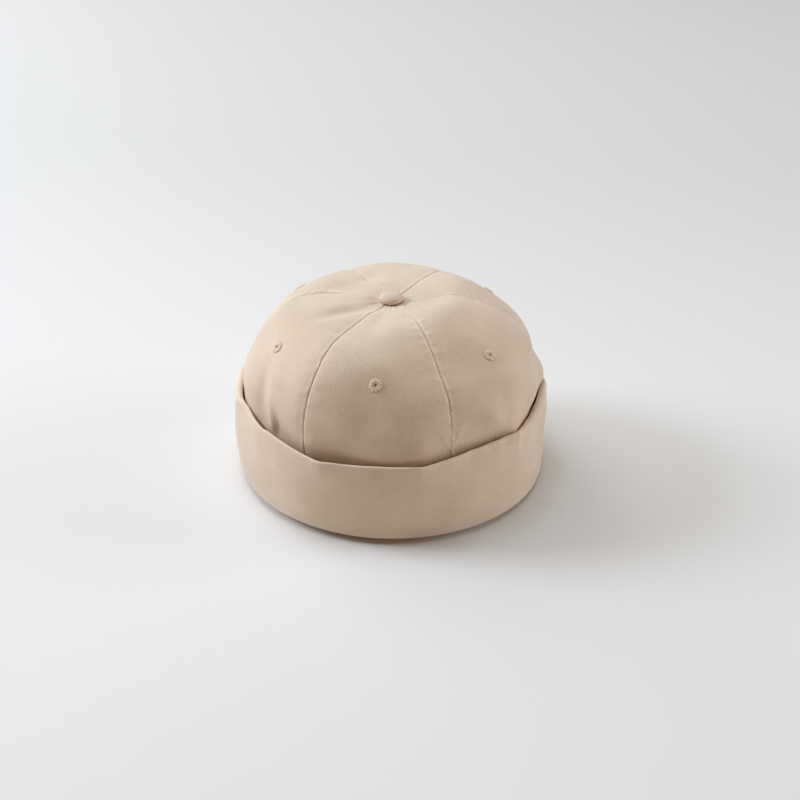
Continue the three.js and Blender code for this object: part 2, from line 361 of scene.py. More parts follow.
# azimuth and radius of the crown's cloth behind the rim
crownAtRim = [
    (-95, 96.4), (-74, 96.0), (-64, 95.0), (-50, 93.4), (-47, 93.0), (-43.6, 89.2), (-40.4, 91.6),
    (-34, 91.6), (-26, 94.4), (-18, 94.2), (-10, 93.8), (-2, 95.2), (8, 97.2), (18, 97.6), (24, 94.0),
    (30, 92.0), (40, 91.2), (50, 92.4), (55, 95.4), (59, 98.0), (63, 96.4), (68, 93.6), (80, 94.2),
    (90, 96.2), (97, 97.2), (143, 97.0), (183, 96.6), (226, 97.0),
]

# dents and folds of the cuff's face: azimuth, height, half width round, half height, slant, how far out
cuffFolds = [
    (-57, 46, 3.0, 9, 0.5, -0.35), (-46, 42, 4.0, 10, 0.3, -0.35), (-38, 44, 5.0, 10, 0.2, 0.3),
    (24, 54, 4.0, 3.0, 0, -0.5), (37, 55, 4.0, 3.0, 0, -0.6), (45.5, 54.5, 4.0, 3.2, 0, -0.7),
    (53, 54.5, 4.0, 3.0, 0, -0.8), (40, 54.5, 24.0, 3.2, 0, -0.4), (-4, 54, 5.0, 3.0, 0, 0.35),
    (7, 54, 5.0, 3.0, 0, 0.35), (-14, 53.5, 4.0, 3.0, 0, -0.35), (-88, 26, 45.0, 22, 0, 2.2),
    (91, 45, 16.0, 12, 0, 1.4),
]


def rimShape(azimuth):
    # between two corners the rim runs straight out, less a parabola that draws it in, and its height
    # and thickness change as a smooth step
    corners = np.array(rimCorners)
    start = corners[0, 0]
    beyond = (azimuth - start) % 360
    index = np.searchsorted(corners[:, 0] - start, beyond, side="right") - 1
    here = corners[index]
    there = np.roll(corners, -1, 0)[index]
    span = (there[:, 0] - here[:, 0]) % 360
    part = (beyond - (here[:, 0] - start)) / span
    out = here[:, 1] + (there[:, 1] - here[:, 1]) * part - here[:, 3] * 4 * part * (1 - part)
    eased = smoothStep(part, 0, 1)
    rise = here[:, 2] + (there[:, 2] - here[:, 2]) * eased
    thick = here[:, 4] + (there[:, 4] - here[:, 4]) * eased
    return out[:, None], rise[:, None], thick[:, None]


def evened(values, azimuth, reach):
    # values round a ring, blurred by a hump of the turn between places
    weight = hump(turnBetween(azimuth[:, None], azimuth[None, :]), reach)
    return weight @ values / weight.sum(1, keepdims=True)


ringAzimuth = np.linspace(0, 360, cuff["around"], endpoint=False)
rimOut, rimRise, rimThick = rimShape(ringAzimuth)
behindRim = np.interp(ringAzimuth, *np.array(crownAtRim).T, period=360)[:, None]
clearOfRim = cuff["rimRadius"] + rimOut - rimThick - cuff["room"]
rimInside = evened(np.minimum(behindRim, clearOfRim), ringAzimuth, cuff["crownReach"])[:, 0]


# lengths in mm, and pairs of them from the button between which a form grows or fades
crown = {
    "cloth": 1.5,               # wall of a gore
    "tip": 4.0,                 # the gores end this far from the axis, under the button
    "fullness": 1.4,            # how far a gore stands out in its middle
    "fullGrows": (8, 50),
    "foldDepth": 60.0,          # a fold fades over this distance through the crown
    "foldsFade": (130, 141),    # narrow folds, slack and puckers end behind the rim
    "driftGrows": (8, 34),      # a seam drifts aside
    "driftFades": (90, 135),
    "tightBelow": (26, 46),     # a seam's second tightness takes over
    "tightAtRim": (100, 116),   # and its third
    "seamGrows": (10, 25),      # the forms beside a seam begin
    "seamGap": 0.06,            # between the edges of two gores
    "seamRoll": 0.5,            # radius of a gore's rolled edge
    "looseRoll": 0.12,          # and where the seam is loose
    "stitchRoll": 0.25,         # more of it at a stitch
    "seamValley": 0.35,         # how deep the cloth sinks towards a seam
    "valleyReach": 3.4,
    "seamRidge": 0.16,          # the turned-under edge beside it
    "ridgeAt": 1.5,
    "ridgeReach": 0.9,
    "ridgeDip": 0.35,           # share of it that a stitch pulls down
    "stitchPitch": 2.6,         # the seam's stitches pull the cloth in at this pitch
    "pucker": 0.16,             # waves that the seam draws into the cloth
    "puckerReach": 6.5,
    "puckerFrom": 1.2,          # the seam itself holds the cloth flat up to here
    "puckerPitch": (1.15, 1.9), # mm for one radian of its two waves
    "puckerDrift": (2.0, 7.7),  # radians by which the first wanders, and mm for one radian of that
    "puckerShift": 1.3,         # radians by which the second differs between the seam's sides
    "gather": 0.22,             # small folds round the button
    "gathers": 17,              # how many
    "gatherDrift": (2.0, 4),    # radians by which they wander, and how often round
    "gatherAt": 11.0,
    "gatherReach": 5.5,
    "lapAzimuth": 78.0,         # where the crown laps over the rim
    "lapReach": (18, 40),       # degrees to either side between which the lap fades
    "leanStart": 104.0,         # the crown starts to lean over to the rim
    "lapStart": 22.5,           # so much later at the lap
    "leanEnd": 130.0,           # and has reached it
    "lapEnd": -1.0,
    "leanFades": (133, 145),    # and goes back to the plain section
    "seamWear": 0.75,           # paler cloth beside a seam
    "wearAt": 1.3,
    "wearReach": 1.1,
    "seamClean": 0.5,           # less of it in the seam
    "cleanReach": 0.5,
    "topWear": 0.26,            # paler cloth on top
    "topFades": (30, 80),
    "columns": 93,              # points across a gore
    "crowding": 0.8,            # how far they crowd towards the seams
    "bend": (110, 140),         # the cloth bends behind the rim
    "rows": (115, 80, 20),      # rows of points above, along and below that
}

# radius and height of the crown from the button to the hem
crownRows = [
    (0, 118.6), (8, 118.6), (17, 119.6), (28, 120), (46, 118), (63, 113),
    (76, 104), (86.8, 92), (91, 75), (92.2, 58), (92.6, 40), (92.2, 3.0),
]

# azimuth and drift of the seam before the gore, how tightly it is drawn in near the button, further down
# and at the rim, and the eyelet's azimuth and distance from the button
gores = [
    {"name": "front", "seam": -28, "drift": 1.2, "tight": (1.0, 1.0, 1.0), "eyelet": (0, 84.5)},
    {"name": "front_right", "seam": 30, "drift": 0, "tight": (0.1, 1.0, 0.25), "eyelet": (60, 79.8)},
    {"name": "back_right", "seam": 90, "drift": 14, "tight": (0.12, 0.3, 0.3), "eyelet": (132, 83)},
    {"name": "back", "seam": 150, "drift": 3, "tight": (0.9, 0.8, 0.6), "eyelet": (182, 83)},
    {"name": "back_left", "seam": 210, "drift": 3, "tight": (0.2, 0.4, 0.2), "eyelet": (236, 83)},
    {"name": "front_left", "seam": 270, "drift": -8, "tight": (0.6, 0.8, 0.5), "eyelet": (302.5, 82)},
]

# swells and hollows of the crown: azimuth and distance from the button of the middle, half width round,
# half width down, turn of both, how far out
crownForm = [
    (103, 127, 25, 10, 0, 7.4), (132, 120, 36, 18, 0, 4.5), (60, 122, 9, 12, 0, 2.4),       # right side
    (74, 119, 20, 15, 0, 2.4), (98, 94, 24, 11, 0, 1.8), (112, 68, 20, 16, 0, -1.4),
    (-80, 125, 44, 15, 0, 4.8), (-92, 90, 34, 22, 0, -1.6), (-92, 72, 24, 13, 0, 2.0),      # left side
    (-26, 67, 31, 17, 0, 2.5), (-26, 85, 17, 28, 0, 1.8), (-10, 79, 16, 12, 0, 1.6),        # front
    (-3, 108, 15, 22, 0, -3.0), (4, 76, 34, 16, 0, 1.2), (24, 46, 28, 14, 0, 1.5),
    (-4, 112, 34, 14, 0, 3.0), (22, 104, 12, 14, 0, 1.4), (48, 117, 13, 13, 0, 3.6),
    (49, 36, 30, 14, 0, 2.4), (82, 38, 26, 11, 0, 1.4), (42, 75, 26, 17, 0, -3.4),      # right shoulder
    (72, 66, 24, 14, 0, -1.6), (125, 24, 22, 12, 0, -1.0),
    (-122, 34, 10, 10, 0, -2.0), (-152, 36, 9, 9, 0, -2.2), (-112, 47, 12, 12, 0, 1.2),     # back
    (-112, 63, 16, 12, 0, -1.0), (158, 56, 16, 14, 0, 1.3), (-165, 56, 18, 14, 0, 1.2),
]

# narrow folds, with the same columns
crownFolds = [
    (-54, 116, 6.5, 24, 4, -2.0), (-30, 106, 14, 26, 0, 2.8), (-47, 126, 2.2, 9, 4, 1.2),   # left side
    (-43.8, 127, 2.0, 7, 0, -0.6), (-100.4, 58, 1.5, 24, 0, 0.9),
    (-52, 32, 5.5, 20, -10, -2.8), (-92, 24, 5, 12, 0, 0.8), (-7, 30, 5, 15, 0, -1.2),  # near the button
    (30, 127, 1.1, 7, 0, 0.5), (27, 121, 1.5, 8, 24, 0.35), (33, 120, 1.5, 8, -24, 0.35),   # right seam
]

# slow uneven waves of soft cloth: height, radians for each mm along X, Y and Z, radians at the origin
slackWaves = [
    (0.1, (1 / 6.1, 0, 1 / 8.3), 1.0),
    (0.1, (0, 1 / 5.2, -1 / 7.1), 2.1),
    (0.13, (1 / 11.0, -1 / 9.0, 1 / 14.0), 0.0),
]


def curveThrough(rows, steps=160):
    # a centripetal spline: each span is a cubic in t whose end slopes come from the points on both
    # sides, weighted by the square roots of their distances
    known = np.array(rows, float)
    known = np.vstack((2 * known[0] - known[1], known, 2 * known[-1] - known[-2]))
    gap = np.sqrt(np.linalg.norm(np.diff(known, axis=0), axis=1))[:, None]
    before, start, end, after = known[:-3], known[1:-2], known[2:-1], known[3:]
    gapBefore, gapHere, gapAfter = gap[:-2], gap[1:-1], gap[2:]
    leave = (start - before) / gapBefore - (end - before) / (gapBefore + gapHere) + (end - start) / gapHere
    reach = (end - start) / gapHere - (after - start) / (gapHere + gapAfter) + (after - end) / gapAfter
    leave = (leave * gapHere)[:, None]
    reach = (reach * gapHere)[:, None]
    start = start[:, None]
    end = end[:, None]
    t = np.linspace(0, 1, steps, endpoint=False)[None, :, None]
    square = 3 * (end - start) - 2 * leave - reach
    cube = 2 * (start - end) + leave + reach
    spans = start + t * (leave + t * (square + t * cube))
    return np.vstack((spans.reshape(-1, 2), known[-2]))


section = curveThrough(crownRows)
sectionLength = runAlong(section)
sectionRun = np.gradient(section, sectionLength, axis=0)
crownLength = sectionLength[-1]


def crownAt(fromButton):
    # radius and height of the section, and the direction in which it runs, at a distance from the button
    return [np.interp(fromButton, sectionLength, row) for row in (*section.T, *sectionRun.T)]


def seamAzimuth(gore, fromButton):
    # the seam's own azimuth plus its drift, which grows after the button and fades before the cuff
    grown = smoothStep(fromButton, *crown["driftGrows"])
    fading = smoothStep(fromButton, *crown["driftFades"])
    return gore["seam"] + gore["drift"] * grown * (1 - fading)


def goreSeams(index, fromButton):
    # azimuths of the seams on both sides of a gore
    following = gores[(index + 1) % len(gores)]
    turn = 360 if index + 1 == len(gores) else 0
    return seamAzimuth(gores[index], fromButton), seamAzimuth(following, fromButton) + turn


def foldedOut(points, folds):
    # the sum of the folds, each its height times a hump along both directions of the cloth at its middle
    out = np.zeros(points.shape[:-1])
    for azimuth, fromButton, halfAcross, halfAlong, turn, height in folds:
        radius, level, runOut, runUp = crownAt(fromButton)
        away = points - ringPoints(azimuth, radius, level)
        aside = away @ ringPoints(azimuth + 90, 1, 0)
        down = away @ ringPoints(azimuth, runOut, runUp)
        under = away @ ringPoints(azimuth, -runUp, runOut)
        cos, sin = np.cos(np.radians(turn)), np.sin(np.radians(turn))
        across = hump(aside * cos - down * sin, halfAcross) * hump(aside * sin + down * cos, halfAlong)
        out += height * across * hump(under, crown["foldDepth"])
    return out


def slackCloth(points):
    # the sum of the slow waves, each its height times the sine of its radians at the place
    return sum(height * np.sin(points @ np.array(slope) + start) for height, slope, start in slackWaves)


def seamTightness(index, across, fromButton):
    # how sharply the nearer seam is drawn in: its three values, each going over to the next as a
    # smooth step
    here, following = gores[index]["tight"], gores[(index + 1) % len(gores)]["tight"]
    near, below, atRim = [np.where(across < 0, left, right) for left, right in zip(here, following)]
    tight = near + (below - near) * smoothStep(fromButton, *crown["tightBelow"])
    return tight + (atRim - tight) * smoothStep(fromButton, *crown["tightAtRim"])


def leanOnRim(azimuth, fromButton, radius, out):
    # between the shoulder and the rim the cloth leans over to the inside of the rim as a smooth step, and
    # below it goes back to the plain section. At the right it first laps over the rim, so it leans later
    lap = 1 - smoothStep(np.abs(turnBetween(azimuth, crown["lapAzimuth"])), *crown["lapReach"])
    start = crown["leanStart"] + crown["lapStart"] * lap
    end = crown["leanEnd"] + crown["lapEnd"] * lap
    leaning = smoothStep(fromButton, start, end)
    inside = np.interp(azimuth % 360, ringAzimuth, rimInside, period=360)
    out = out + (inside - radius - out) * leaning
    return out * (1 - smoothStep(fromButton, *crown["leanFades"]))


def seamShape(index, across, fromButton, fromSeam):
    # what a seam does to the cloth beside it: a valley and a ridge, both humps of the distance from the
    # seam, puckers that are sines of the distance from the button, and an edge rolled in as a quarter
    # circle. Gives how far out, how far the edge is rolled in, and the wear
    grown = smoothStep(fromButton, *crown["seamGrows"])
    held = 1 - smoothStep(fromButton, *crown["foldsFade"])
    tight = seamTightness(index, across, fromButton)
    pull = 0.5 + 0.5 * np.cos(2 * np.pi * fromButton / crown["stitchPitch"] + gores[index]["seam"])
    ridge = (1 - crown["ridgeDip"] * pull) * hump(fromSeam - crown["ridgeAt"], crown["ridgeReach"])
    out = crown["seamRidge"] * ridge - crown["seamValley"] * hump(fromSeam, crown["valleyReach"])
    first, second = [fromButton / pitch for pitch in crown["puckerPitch"]]
    wander, length = crown["puckerDrift"]
    waves = np.sin(first + wander * np.sin(fromButton / length))
    waves = waves + np.sin(second + crown["puckerShift"] * np.sign(across))
    beside = hump(fromSeam, crown["puckerReach"]) * (1 - hump(fromSeam, crown["puckerFrom"]))
    out = grown * (tight * out + crown["pucker"] * held * waves * beside)
    roll = crown["looseRoll"] + (crown["seamRoll"] - crown["looseRoll"]) * tight
    roll = roll + crown["stitchRoll"] * tight * pull
    sunk = np.clip(1 - fromSeam / roll, 0, 1)
    rolled = roll * (1 - np.sqrt(1 - sunk ** 2))
    wearAndStitchLight = crown["seamWear"] * hump(fromSeam - crown["wearAt"], crown["wearReach"])
    wearAndStitchLight = tight * grown * (wearAndStitchLight - crown["seamClean"] * hump(fromSeam, crown["cleanReach"]))
    return out, rolled, wearAndStitchLight


def gorePoints(index, across, fromButton, depth):
    # the crown's section turned about the axis between two seams, moved out along its own normal by
    # fullness, folds and seam shapes, less the depth. across is -1 at one seam and 1 at the other. The
    # cloth is worn beside the seams and, fading as a smooth step, on the top
    radius, height, runOut, runUp = crownAt(fromButton)
    left, right = goreSeams(index, fromButton)
    azimuth = left + (right - left) * (across + 1) / 2
    halfWidth = np.radians(right - left) * radius / 2
    fromSeam = (1 - np.abs(across)) * halfWidth
    plain = ringPoints(azimuth, radius, height)
    full = crown["fullness"] * smoothStep(fromButton, *crown["fullGrows"]) * (1 - across ** 2)
    out = leanOnRim(azimuth, fromButton, radius, full + foldedOut(plain, crownForm))
    slack = smoothStep(fromButton, *crown["seamGrows"]) * slackCloth(plain)
    out += (1 - smoothStep(fromButton, *crown["foldsFade"])) * (foldedOut(plain, crownFolds) + slack)
    wander, often = crown["gatherDrift"]
    gathers = np.cos(np.radians(azimuth * crown["gathers"]) + wander * np.sin(np.radians(azimuth * often)))
    out += crown["gather"] * gathers * hump(fromButton - crown["gatherAt"], crown["gatherReach"])
    drawn, rolled, wearAndStitchLight = seamShape(index, across, fromButton, fromSeam)
    out += drawn - np.where(depth > 0, depth, rolled)
    points = ringPoints(azimuth, radius - runUp * out, height + runOut * out)
    points -= ringPoints(azimuth + 90, 1, 0) * (across * crown["seamGap"] / 2)[..., None]
    flat = np.stack(np.broadcast_arrays(across * halfWidth, fromButton), -1)
    wearAndStitchLight = wearAndStitchLight + crown["topWear"] * (1 - smoothStep(fromButton, *crown["topFades"]))
    return points, flat, np.clip(wearAndStitchLight, 0, 1)


eyelet = {
    "radius": 3.9,              # over the ends of the stitches
    "hole": 0.5,
    "barrel": 2.0,              # what goes through the cloth
    "holeRoom": 1.0,            # the gore is open this far round the barrel
    "stitches": 11,
    "rib": 0.3,                 # height of a stitch over the gaps beside it
    "ribPower": 0.6,            # the lower, the rounder a stitch
    "ribMiddle": 0.7,           # the share of a rib's height that lies below the outline
    "ribWidth": (0.1, 0.45),    # shares of the ring's width between which the ribs rise
    "ribHeight": (0.1, 0.5),    # and heights
    "stitchEnd": 0.1,           # a stitch ends this far out
    "gapEnd": 0.12,             # and a gap this far in
    "uneven": 0.18,             # how much the stitches differ in length
    "unevenLift": 0.07,         # and in height
    "seed": 40,
    "flatRadius": 3.0,          # of the ring's flat length
    "probe": (0.04, 1.0),       # steps across and down the gore, to find which way it faces
    "around": 170,              # points round the ring
}

# radius and height over the cloth of the eyelet's closed outline
spool = [
    (0.5, -2.2), (0.5, -1.2), (0.55, 0.0), (0.8, 0.5), (1.5, 0.85), (2.4, 0.95), (3.1, 0.85),
    (3.6, 0.6), (3.9, 0.3), (3.85, 0.12), (3.5, 0.08), (2.8, 0.08), (2.0, 0.0), (2.0, -1.0),
    (2.0, -1.6), (2.7, -1.75), (3.2, -2.0), (3.0, -2.4), (2.2, -2.6), (1.2, -2.55),
]


def eyeletSeat(index):
    # place on the gore's outer face, the outward direction of the cloth there, which is across the steps
    # to both sides and down, and where the eyelet lies between the seams and from the button
    azimuth, down = gores[index]["eyelet"]
    left, right = goreSeams(index, down)
    middle = (azimuth - left) / (right - left) * 2 - 1
    aside, below = eyelet["probe"]
    across = middle + np.array((0, -aside, aside, 0, 0))
    along = down + np.array((0, 0, 0, -below, below))
    place, west, east, north, south = gorePoints(index, across, along, 0)[0]
    outward = np.cross(south - north, east - west)
    outward /= np.linalg.norm(outward)
    halfWidth = np.radians(right - left) * crownAt(down)[0] / 2
    return place, outward, middle, down, halfWidth


def makeGore(index):
    # two faces of gorePoints on one grid, closer together at the seams, less the cells over the eyelet's
    # hole, joined all round their edges
    share = np.linspace(-1, 1, crown["columns"])
    across = (1 - crown["crowding"]) * share + crown["crowding"] * np.sin(share * np.pi / 2)
    bendStart, bendEnd = crown["bend"]
    above, along, below = crown["rows"]
    rows = np.concatenate((np.linspace(crown["tip"], bendStart, above, endpoint=False),
                           np.linspace(bendStart, bendEnd, along, endpoint=False),
                           np.linspace(bendEnd, crownLength, below)))
    across, fromButton = np.broadcast_arrays(across[None, :], rows[:, None])
    outer, flat, wearAndStitchLight = gorePoints(index, across, fromButton, 0)
    inner = gorePoints(index, across, fromButton, crown["cloth"])[0]
    cells = gridCells(*across.shape)
    place = eyeletSeat(index)[0]
    middles = outer.reshape(-1, 3)[cells].mean(1)
    cells = cells[np.linalg.norm(middles - place, axis=1) > eyelet["barrel"] + eyelet["holeRoom"]]
    under = across.size
    start = cells.ravel()
    end = np.roll(cells, -1, 1).ravel()
    lone = ~np.isin(start * under + end, end * under + start)  # edges with a cell on one side only
    start, end = start[lone], end[lone]
    rim = np.stack((end, start, start + under, end + under), -1)
    faces = np.vstack((cells, cells[:, ::-1] + under, rim))
    points = np.vstack((outer.reshape(-1, 3), inner.reshape(-1, 3)))
    flat = np.tile(flat.reshape(-1, 2), (2, 1))
    wearAndStitchLight = np.concatenate((wearAndStitchLight.ravel(), 0 * wearAndStitchLight.ravel()))
    return addPiece("gore_" + gores[index]["name"], points, [faces], [flat[faces]], wearAndStitchLight, twillFinish)


def makeEyelet(index):
    # the spool's outline carried round the hole, lifted into ribs by a rounded sine of the azimuth, with
    # each stitch a little longer or shorter than the next
    steps = 3
    outline = curveThrough((spool[-1], *spool, spool[0]), steps)[steps:-steps - 1]
    rng = np.random.default_rng(eyelet["seed"] + index)
    longer = rng.normal(0, eyelet["uneven"], eyelet["stitches"])
    lift = rng.normal(0, eyelet["unevenLift"], eyelet["stitches"])
    turn = np.linspace(0, 2 * np.pi, eyelet["around"], endpoint=False)
    count = turn / (2 * np.pi) * eyelet["stitches"]
    stitch = count.astype(int)
    rib = np.abs(np.sin(np.pi * count)) ** eyelet["ribPower"]
    share = (outline[:, :1] - eyelet["hole"]) / (eyelet["radius"] - eyelet["hole"])
    ribbed = smoothStep(share, *eyelet["ribWidth"]) * smoothStep(outline[:, 1:], *eyelet["ribHeight"])
    reach = rib * (eyelet["stitchEnd"] + longer[stitch]) - eyelet["gapEnd"]
    radius = outline[:, :1] + ribbed * share * reach
    height = outline[:, 1:] + ribbed * ((rib - eyelet["ribMiddle"]) * eyelet["rib"] + lift[stitch])
    outward, middle, down, halfWidth = eyeletSeat(index)[1:]
    across = middle + radius * np.cos(turn) / halfWidth
    fromButton = down + radius * np.sin(turn)
    points = gorePoints(index, across, fromButton, 0)[0] + height[..., None] * outward
    rows, columns = radius.shape
    run = runAlong(np.vstack((outline, outline[:1])))
    girth = np.linspace(0, 2 * np.pi * eyelet["flatRadius"], columns + 1)
    flat = np.stack(np.meshgrid(girth, run), -1).reshape(-1, 2)
    # the stitches' rise becomes this value: painted highlight on the stitch crests, painted shade between
    # them
    wearAndStitchLight = np.clip(rib * ribbed, 0, 1)
    faces = ringCells(rows, columns)[:, ::-1]
    uv = flat[gridCells(rows + 1, columns + 1)][:, ::-1]
    return addPiece("eyelet_stitches_" + gores[index]["name"], points.reshape(-1, 3), [faces], [uv],
                    wearAndStitchLight.ravel(), threadFinish)


for index, gore in enumerate(gores):
    panel = makeGore(index)
    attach(panel, "root")
    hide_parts("crown_panel_" + gore["name"])
    ring = makeEyelet(index)
    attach(ring, "root")
    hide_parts("eyelet_" + gore["name"])
print("crown made:", len(gores), "gores with their eyelets")


button = {
    "seat": 118.6,              # height of the gores' tips
    "gathers": 0.12,            # folds of the cover round its edge
    "counts": (14, 9),          # how many, in two series
    "second": 0.7,              # height of the second against the first
    "secondTurn": 40.0,         # degrees
    "edgeHeight": 1.0,          # where the folds lie
    "edgeReach": 1.1,
    "edgeGrows": (5, 8),        # radii between which they grow
    "wearAndStitchLight": 0.5,
    "around": 160,
}

# radius and height over the seat of the button's outline
buttonOutline = [
    (0.6, -4.0), (2.6, -3.8), (2.6, -0.4), (4.2, 0.15), (6.0, 0.3), (7.1, 0.6), (7.6, 1.4), (7.5, 2.4),
    (6.9, 3.5), (5.6, 4.45), (3.9, 5.1), (2.0, 5.5), (0.5, 5.6),
]


def makeButton():
    # an outline turned about the axis, with gathers that ripple its edge as a cosine of the azimuth, and
    # a fan of triangles to a pole at both ends
    outline = curveThrough(buttonOutline, 7)
    turn = np.linspace(0, 360, button["around"], endpoint=False)
    firstCount, secondCount = button["counts"]
    gather = np.cos(np.radians(turn * firstCount))
    gather = gather + button["second"] * np.cos(np.radians(turn * secondCount + button["secondTurn"]))
    edge = hump(outline[:, 1:] - button["edgeHeight"], button["edgeReach"])
    edge = edge * smoothStep(outline[:, :1], *button["edgeGrows"])
    radius = outline[:, :1] + button["gathers"] * edge * gather
    rings = ringPoints(turn, radius, button["seat"] + outline[:, 1:])
    rows, columns = radius.shape
    quads = tubeCells(rows, columns)[:, ::-1]
    basePole = rows * columns
    first, last = np.arange(columns), np.arange(columns) + (rows - 1) * columns
    base = np.stack((np.full(columns, basePole), np.roll(first, -1), first), -1)
    top = np.stack((np.full(columns, basePole + 1), last, np.roll(last, -1)), -1)
    poles = np.array([(0, 0, button["seat"] + outline[0, 1]), (0, 0, button["seat"] + outline[-1, 1])])
    points = np.vstack((rings.reshape(-1, 3), poles))
    flat = points[:, :2] * np.array((1, -1))
    wearAndStitchLight = np.concatenate(((button["wearAndStitchLight"] * edge * np.clip(gather, 0, 1)).ravel(), (0, 0)))
    return addPiece("button_cover", points, [quads, base, top], [flat[quads], flat[base], flat[top]],
                    wearAndStitchLight, twillFinish)


cover = makeButton()
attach(cover, "root")
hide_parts("top_button")
print("button made")


def arc(radius, height, size, start, end, count):
    # points on an arc about a centre in the section, from one angle to another in degrees
    turn = np.radians(np.linspace(start, end, count))
    return radius + size * np.cos(turn), height + size * np.sin(turn)


def cuffFace(azimuth, low, high):
    # radius and height of the outer face between two heights: a straight line with a parabola for the
    # swell, the evened rim and its corners growing as powers of the share of the height, and the folds
    # and dents, each a hump both ways
    share = np.linspace(0, 1, cuff["rows"])[None, :]
    height = low + (high - low) * share
    even = evened(rimOut, azimuth, cuff["kinkReach"])
    face = cuff["footRadius"] + (cuff["rimRadius"] - cuff["footRadius"]) * share
    face = face + cuff["swell"] * 4 * share * (1 - share)
    face = face + even * share ** cuff["leanPower"] + (rimOut - even) * share ** cuff["kinkPower"]
    for foldAzimuth, middle, halfAcross, halfUp, slant, depth in cuffFolds:
        aside = np.radians(turnBetween(azimuth, foldAzimuth))[:, None] * cuff["rimRadius"]
        across = hump(aside + slant * (height - middle), halfAcross)
        face = face + depth * across * hump(height - middle, halfUp)
    slack = slackCloth(ringPoints(azimuth[:, None], face, height))
    return face + cuff["slack"] * slack * (1 - share ** cuff["slackPower"]), height, share


def makeCuff():
    # a closed section carried round the axis: the foot, which rests on its inner edge and arches up to the
    # lower fold, then the outer face, the rim's fold, the inner face, a fillet and the foot's upper face
    azimuth = ringAzimuth
    whole = np.ones((len(azimuth), 1))
    bead = rimThick / 2
    beadHeight = cuff["height"] + rimRise - bead
    fold = cuff["footFold"]
    tilt = np.cos(np.radians(azimuth - cuff["tiltAzimuth"]))[:, None]
    rest = cuff["footRise"] + cuff["footTilt"] * tilt
    face, height, share = cuffFace(azimuth, rest + fold, beadHeight)
    grown = smoothStep(height, cuff["wallGrows"] * beadHeight, beadHeight)
    inside = face - cuff["wall"] - (rimThick - cuff["wall"]) * grown
    thick = cuff["footThickness"]
    ease = thick / 2
    toe = cuff["headRadius"] + ease
    foldCentre = cuff["footRadius"] - fold
    tread = np.linspace(0, 1, cuff["footRows"])[None, 1:-1]
    treadRadius = (toe + (foldCentre - toe) * tread) * whole
    arched = np.sin(np.pi * smoothStep(tread, cuff["archStart"], 1.0)) ** 2
    under = rest * smoothStep(tread, *cuff["footLift"]) + cuff["footArch"] * arched
    over = tread[0] < cuff["footInside"]
    fillet = cuff["fillet"]
    corner = under[:, over][:, -1:] + thick
    innerHeight = corner + fillet + (beadHeight - corner - fillet) * share
    pieces = [
        arc(toe * whole, ease * whole, ease, 180, 270, 7),
        (treadRadius, under),
        arc(foldCentre * whole, rest + fold, fold, -90, -4, 12),
        (face, height),
        arc(face[:, -1:] - bead, beadHeight, bead, 15, 165, 11),
        (inside[:, ::-1], innerHeight[:, ::-1]),
        arc(inside[:, :1] - fillet, corner + fillet, fillet, -15, -75, 5),
        (treadRadius[:, over][:, ::-1], under[:, over][:, ::-1] + thick),
        arc(toe * whole, ease * whole, ease, 90, 165, 6),
    ]
    radius = np.hstack([piece[0] for piece in pieces])
    level = np.hstack([piece[1] for piece in pieces])
    points = ringPoints(azimuth[:, None], radius, level)
    rows, columns = radius.shape
    outline = np.stack((radius.mean(0), level.mean(0)), -1)
    run = runAlong(np.vstack((outline, outline[:1])))
    girth = np.radians(np.linspace(0, 360, rows + 1)) * cuff["rimRadius"]
    flat = np.stack(np.broadcast_arrays(girth[:, None], -run[None, :]), -1).reshape(-1, 2)
    uv = flat[gridCells(rows + 1, columns + 1)]
    edges = hump(level - cuff["height"] - rimRise, cuff["rimWearReach"])
    edges = edges + hump(level - cuff["footRise"], cuff["footWearReach"])
    wearAndStitchLight = cuff["wearAndStitchLight"] + cuff["edgeWear"] * edges
    return addPiece("turned_cuff", points.reshape(-1, 3), [ringCells(rows, columns)], [uv], wearAndStitchLight.ravel(),
                    twillFinish)


band = makeCuff()
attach(band, "root")
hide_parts("cuff")
print("cuff made")


# lengths in metres
studio = {
    "floorRadius": 5.0,         # of the flat part
    "sweep": 1.8,               # the edge curves up in a quarter circle of this radius
    "around": 128,
    "sweepRows": 17,
    "floor": linear(231, 229, 227),
    # the floor is painted darker behind the cap, painted shade of the light falling off
    "floorPaintedShadeBehind": linear(216, 215, 213),
    "backStart": 0.0,           # along Y, the floor's colour goes over to the darker one behind, painted shade
    "backEnd": 0.6,
    "roughness": 0.8,
    "gloss": 0.2,
    "world": (1.0, 0.59, 0.18, 1.0),
    "worldStrength": 0.195,
    "lampAim": (0, 0, 0.05),
}

# name, place, width and height of the panel, power, colour
lamps = [
    ("topLamp", (0.0, 0.19, 2.75), 1.6, 1.6, 18.5, (0.72, 1.0, 1.2)),
    ("highLamp", (-1.15, 0.5, 2.5), 1.6, 1.6, 19.0, (0.98, 1.0, 1.04)),
    ("backLeftLamp", (-1.64, 1.64, 1.62), 1.6, 1.6, 18.0, (0.93, 1.0, 1.05)),
    ("leftLamp", (-2.43, 0.2, 1.45), 1.1, 0.9, 47.0, (0.91, 1.0, 1.15)),
    ("rightLamp", (2.66, 0.5, 0.66), 1.4, 1.1, 33.0, (0.98, 1.0, 1.08)),
]


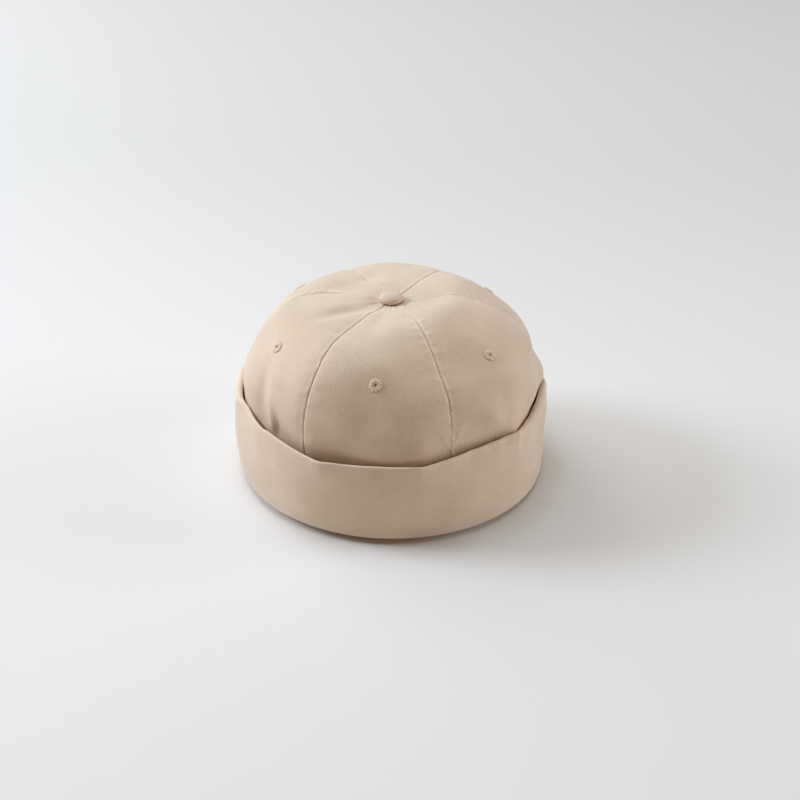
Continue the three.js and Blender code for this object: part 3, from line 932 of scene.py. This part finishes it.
def makeFloor():
    # a flat disc at the height on which the cap stands, whose edge curves up as a quarter circle; its
    # colour is painted darker towards the back as painted shade
    columns = studio["around"]
    turn = np.linspace(0, 360, columns, endpoint=False)
    lift = np.radians(np.linspace(0, 90, studio["sweepRows"]))[:, None]
    radius = studio["floorRadius"] + studio["sweep"] * np.sin(lift)
    points = ringPoints(turn, radius, studio["sweep"] * (1 - np.cos(lift)))
    faces = [list(range(columns))] + tubeCells(len(lift), columns).tolist()
    mesh = bpy.data.meshes.new("floor")
    mesh.from_pydata(points.reshape(-1, 3).tolist(), [], faces)
    mesh.polygons.foreach_set("use_smooth", np.ones(len(faces), bool))
    f = Finish("studioFloor")
    place = f.node("ShaderNodeTexCoord", {}, {}, "Object")
    back = f.node("ShaderNodeSeparateXYZ", {}, {"Vector": place}, 1)
    # painted shade: the floor's colour darkens towards the back along Y
    shadeBehind = f.node("ShaderNodeMapRange", {"interpolation_type": "SMOOTHSTEP"},
                 {"Value": back, "From Min": studio["backStart"], "From Max": studio["backEnd"]})
    colour = f.blend(shadeBehind, studio["floor"], studio["floorPaintedShadeBehind"])
    mesh.materials.append(f.close({"Base Color": colour, "Roughness": studio["roughness"],
                                   "Specular IOR Level": studio["gloss"]}))
    floor = bpy.data.objects.new("floor", mesh)
    scene.collection.objects.link(floor)
    return floor


def aimed(place, target):
    # the turn that points an object's -Z from place to target, with its top upwards
    return (Vector(target) - Vector(place)).to_track_quat("-Z", "Y").to_euler()


makeFloor()
world = bpy.data.worlds.new("studioAir")
scene.world = world
world.use_nodes = True
world.node_tree.nodes["Background"].inputs["Color"].default_value = studio["world"]
world.node_tree.nodes["Background"].inputs["Strength"].default_value = studio["worldStrength"]
for name, place, width, tall, power, colour in lamps:
    lamp = bpy.data.lights.new(name, "AREA")
    lamp.shape = "RECTANGLE"
    lamp.size = width
    lamp.size_y = tall
    lamp.energy = power
    lamp.color = colour
    holder = bpy.data.objects.new(name, lamp)
    holder.location = place
    holder.rotation_euler = aimed(place, studio["lampAim"])
    scene.collection.objects.link(holder)
scene.view_settings.view_transform = "Standard"
print("floor and lamps made")

view = {
    "azimuth": 6.3,             # degrees round to the right from the front
    "elevation": 30.2,
    "distance": 1.048,          # m
    "aim": (0, 0, 0.0524),
    "aimPixel": (391.4, 391.0), # where the aim shows in the picture
    "picture": 800,             # pixels, both ways
    "focal": 1598.0,            # pixels
    "sensor": 36.0,             # mm
}


def makeCamera(spec):
    # stands back from the aim along azimuth and elevation, then slides across its own picture plane
    # until the aim shows at its pixel
    turn = math.radians(spec["azimuth"])
    lift = math.radians(spec["elevation"])
    back = np.array((math.sin(turn) * math.cos(lift), -math.cos(turn) * math.cos(lift), math.sin(lift)))
    right = np.array((math.cos(turn), math.sin(turn), 0))
    up = np.cross(back, right)
    middle = spec["picture"] / 2
    pixel = spec["distance"] / spec["focal"]
    aside = (spec["aimPixel"][0] - middle) * pixel
    drop = (spec["aimPixel"][1] - middle) * pixel
    data = bpy.data.cameras.new("photoCamera")
    data.sensor_width = spec["sensor"]
    data.lens = spec["focal"] * spec["sensor"] / spec["picture"]
    camera = bpy.data.objects.new("photoCamera", data)
    camera.location = np.array(spec["aim"]) + back * spec["distance"] - right * aside + up * drop
    camera.rotation_euler = (math.pi / 2 - lift, 0, turn)
    scene.collection.objects.link(camera)
    return camera


scene.camera = makeCamera(view)
print("camera set")
